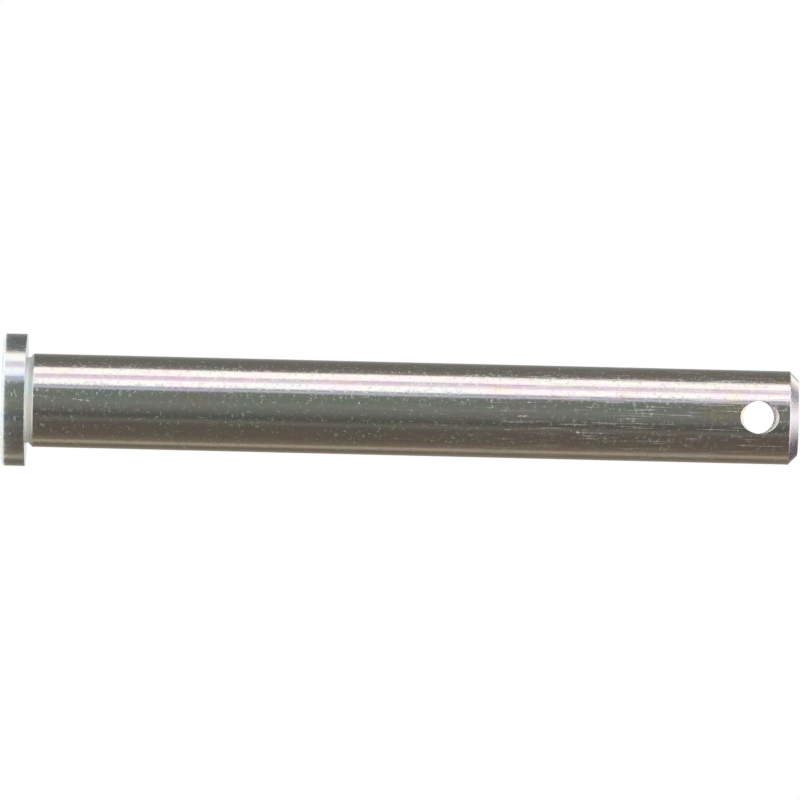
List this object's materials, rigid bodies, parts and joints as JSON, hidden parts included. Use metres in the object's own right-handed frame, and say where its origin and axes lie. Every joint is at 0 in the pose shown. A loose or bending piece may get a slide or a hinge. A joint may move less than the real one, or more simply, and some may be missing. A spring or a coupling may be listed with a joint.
{
  "type": "clevis pin",
  "caption": "Plain round steel pin with a flat head at one end, a relief groove under the head, and a countersunk cotter hole across the other end.",
  "frame": {"origin": "centre of the head's outer face, on which the pin stands", "axes": "+Z along the pin's axis from the head to the tip, Y along the cotter hole"},
  "size_m": [0.0284, 0.0284, 0.1701],
  "materials": {
    "zinc_plated_steel": "bright zinc plate with a clear passivate, faintly iridescent, lightly scratched"
  },
  "bodies": {
    "root": {"clevis_pin": "zinc_plated_steel"}
  },
  "joints": []
}
